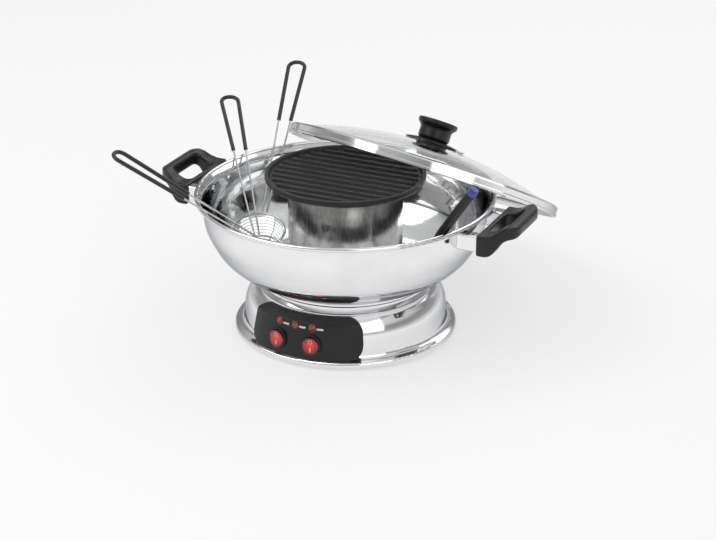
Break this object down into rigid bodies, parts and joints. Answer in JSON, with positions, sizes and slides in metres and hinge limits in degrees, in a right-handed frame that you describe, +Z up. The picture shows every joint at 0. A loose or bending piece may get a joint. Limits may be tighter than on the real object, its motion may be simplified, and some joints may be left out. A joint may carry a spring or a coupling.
{
  "type": "electric fondue pot",
  "caption": "Electric fondue pot: round heated base with rocker switches, lift-off steel bowl, central chimney with grill plate, loose glass lid, wire baskets and a fork.",
  "frame": {"origin": "on the table, on the pot's vertical axis", "axes": "+Z up, -Y towards the control panel, the pot's two handles along +X and -X"},
  "size_m": [0.428, 0.4401, 0.2284],
  "materials": {
    "polished_steel": "polished",
    "plain_steel": "satin",
    "aluminium": "satin",
    "heater_sheath": "matte oxidised",
    "foot_rubber": "matte",
    "black_plastic": "satin moulded",
    "red_switch": "translucent gloss",
    "red_lamp": "translucent gloss",
    "insulator": "matte",
    "contact_brass": "plain",
    "wire_sleeve": "matte",
    "circuit_board": "lacquered",
    "grill_coating": "non-stick coating",
    "lid_glass": "clear tempered",
    "basket_wire": "bright wire",
    "handle_vinyl": "dipped vinyl",
    "fork_mark": "gloss"
  },
  "bodies": {
    "base": {"base_shell": "polished_steel", "base_collar": "polished_steel", "base_plate": "plain_steel", "base_brackets": "plain_steel", "base_screws": "plain_steel", "shield_pillars": "plain_steel", "element_clamps": "plain_steel", "clamp_screws": "plain_steel", "panel_screws": "plain_steel", "heater_column": "plain_steel", "heat_shield": "aluminium", "hot_plate": "aluminium", "reflector_dish": "aluminium", "ring_element": "heater_sheath", "grill_element": "heater_sheath", "foot_ring": "foot_rubber", "control_panel": "black_plastic", "inlet_socket": "black_plastic", "left_switch_body": "black_plastic", "right_switch_body": "black_plastic", "signal_lamps": "red_lamp", "thermostat": "insulator", "thermal_fuse": "insulator", "terminal_block": "insulator", "terminal_screws": "contact_brass", "inlet_pins": "contact_brass", "switch_tabs": "contact_brass", "wire_loom": "wire_sleeve", "lamp_board": "circuit_board"},
    "bowl": {"bowl": "polished_steel", "bowl_base_disc": "aluminium", "chimney": "polished_steel", "handle_rivets": "polished_steel", "handle_screws": "plain_steel", "right_handle_bracket": "polished_steel", "right_handle_grip": "black_plastic", "left_handle_bracket": "polished_steel", "left_handle_grip": "black_plastic"},
    "left_rocker": {"left_rocker": "red_switch"},
    "right_rocker": {"right_rocker": "red_switch"},
    "grill": {"grill_plate": "grill_coating"},
    "lid": {"lid_glass": "lid_glass", "lid_rim": "polished_steel", "knob_flange": "black_plastic", "lid_knob": "black_plastic", "knob_washer": "foot_rubber", "knob_screw": "plain_steel", "vent_eyelet": "plain_steel"},
    "fork": {"fork_prongs": "basket_wire", "fork_grip": "black_plastic", "fork_cap": "fork_mark"},
    "basket_1": {"basket_1_mesh": "basket_wire", "basket_1_frame": "basket_wire", "basket_1_sleeve": "handle_vinyl"},
    "basket_2": {"basket_2_mesh": "basket_wire", "basket_2_frame": "basket_wire", "basket_2_sleeve": "handle_vinyl"},
    "basket_3": {"basket_3_mesh": "basket_wire", "basket_3_frame": "basket_wire", "basket_3_sleeve": "handle_vinyl"}
  },
  "joints": [
    {"name": "bowl_lift", "type": "slide", "parent": "base", "child": "bowl", "axis": [0, 0, 1], "range_m": [0, 0.18]},
    {"name": "grill_lift", "type": "slide", "parent": "bowl", "child": "grill", "axis": [0, 0, 1], "range_m": [0, 0.12]},
    {"name": "lid_lift", "type": "slide", "parent": "grill", "child": "lid", "axis": [0.1235, 0.4609, 0.8788], "range_m": [0, 0.2]},
    {"name": "basket_1_lift", "type": "slide", "parent": "bowl", "child": "basket_1", "axis": [0.0711, -0.3345, 0.9397], "range_m": [0, 0.14]},
    {"name": "basket_3_lift", "type": "slide", "parent": "bowl", "child": "basket_3", "axis": [-0.3418, 0.0119, 0.9397], "range_m": [0, 0.14]},
    {"name": "basket_2_lift", "type": "slide", "parent": "basket_3", "child": "basket_2", "axis": [-0.4226, 0, 0.9063], "range_m": [0, 0.14]},
    {"name": "fork_lift", "type": "slide", "parent": "bowl", "child": "fork", "axis": [0.114, -0.0798, 0.9903], "range_m": [0, 0.16]},
    {"name": "left_rocker_tilt", "type": "hinge", "parent": "base", "child": "left_rocker", "pos_m": [-0.02781, -0.11322, 0.02475], "axis": [0.9711, -0.2385, 0], "range_deg": [-16, 0]},
    {"name": "right_rocker_tilt", "type": "hinge", "parent": "base", "child": "right_rocker", "pos_m": [0.0134, -0.11581, 0.02475], "axis": [0.9934, 0.1149, 0], "range_deg": [-16, 0]}
  ]
}
